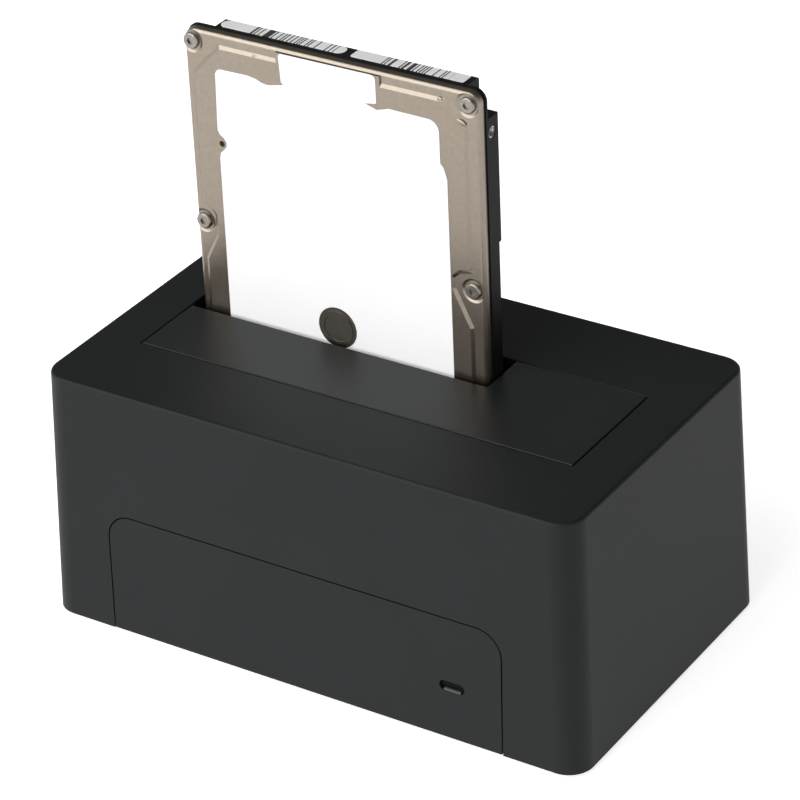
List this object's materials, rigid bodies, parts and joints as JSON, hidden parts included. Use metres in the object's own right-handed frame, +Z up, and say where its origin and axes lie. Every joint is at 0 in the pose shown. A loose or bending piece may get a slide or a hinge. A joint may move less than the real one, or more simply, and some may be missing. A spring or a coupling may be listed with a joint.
{
  "type": "hard drive docking station",
  "caption": "Desktop hard drive dock: tapered black box with a top slot closed by a sprung L-shaped flap, a flush front panel and a 2.5 inch drive standing in the slot.",
  "frame": {"origin": "centre of the dock's footprint, on the surface that its feet stand on", "axes": "+X to the right along the front face, +Y towards the back with the ports, +Z up"},
  "size_m": [0.1278, 0.0752, 0.1213],
  "materials": {
    "black_plastic": "satin",
    "panel_plastic": "satin",
    "flap_plastic": "satin",
    "base_plastic": "fine texture",
    "well_plastic": "matt",
    "foot_rubber": "matt",
    "screw_steel": "plated",
    "cover_screw_steel": "polished",
    "spring_steel": "bright",
    "port_steel": "plated",
    "circuit_board": "solder mask",
    "socket_plastic": "moulded",
    "port_plastic": "moulded",
    "chip_plastic": "matt",
    "can_metal": "satin",
    "ceramic": "smooth",
    "contact_metal": "gold plated",
    "button_plastic": "satin",
    "lamp_plastic": "smooth",
    "clear_plastic": "clear",
    "cast_case": "black painted casting",
    "cover_metal": "satin",
    "seal_metal": "satin",
    "label_paper": "printed film"
  },
  "bodies": {
    "dock": {"outer_shell": "black_plastic", "front_panel": "panel_plastic", "base_plate": "base_plastic", "foot_front_left": "foot_rubber", "foot_front_right": "foot_rubber", "foot_rear_left": "foot_rubber", "foot_rear_right": "foot_rubber", "case_screws": "screw_steel", "drive_well": "well_plastic", "well_screws": "screw_steel", "main_board": "circuit_board", "board_screws": "screw_steel", "sata_socket": "socket_plastic", "sata_contacts": "contact_metal", "bridge_chip": "chip_plastic", "memory_chip": "chip_plastic", "clock_crystal": "can_metal", "power_inductor": "chip_plastic", "chip_capacitors": "ceramic", "filter_capacitor_1": "can_metal", "filter_capacitor_2": "can_metal", "filter_capacitor_3": "can_metal", "usb_port_shell": "port_steel", "usb_port_insert": "port_plastic", "usb_contacts": "contact_metal", "power_jack": "socket_plastic", "jack_pin": "port_steel", "power_switch": "socket_plastic", "button_spring": "spring_steel", "status_light": "lamp_plastic", "light_pipe": "clear_plastic", "flap_hinge_pin": "spring_steel", "flap_spring_left": "spring_steel", "flap_spring_right": "spring_steel"},
    "flap": {"drive_flap": "flap_plastic"},
    "power_button": {"power_button": "button_plastic"},
    "drive": {"drive_case": "cast_case", "drive_cover": "cover_metal", "cover_screws": "cover_screw_steel", "cover_label": "label_paper", "seal_disc": "seal_metal", "end_label_left": "label_paper", "end_label_right": "label_paper", "drive_board": "circuit_board", "drive_board_screws": "screw_steel", "spindle_cap": "seal_metal", "drive_connector": "socket_plastic", "drive_contacts": "contact_metal"}
  },
  "joints": [
    {"name": "flap_swing", "type": "hinge", "parent": "dock", "child": "flap", "pos_m": [-0.00015, -0.0165, 0.0538], "axis": [-1, 0, 0], "range_deg": [0, 90], "stiffness_Nm_per_rad": 0.01, "springref_deg": -57.3, "deforming": ["flap_spring_left", "flap_spring_right"]},
    {"name": "power_button_press", "type": "slide", "parent": "dock", "child": "power_button", "axis": [0, -1, 0], "range_m": [0, 0.0015], "stiffness_N_per_m": 400, "springref_m": -0.002, "deforming": ["button_spring"]},
    {"name": "drive_lift", "type": "slide", "parent": "dock", "child": "drive", "axis": [0, 0, 1], "range_m": [0, 0.05]}
  ]
}
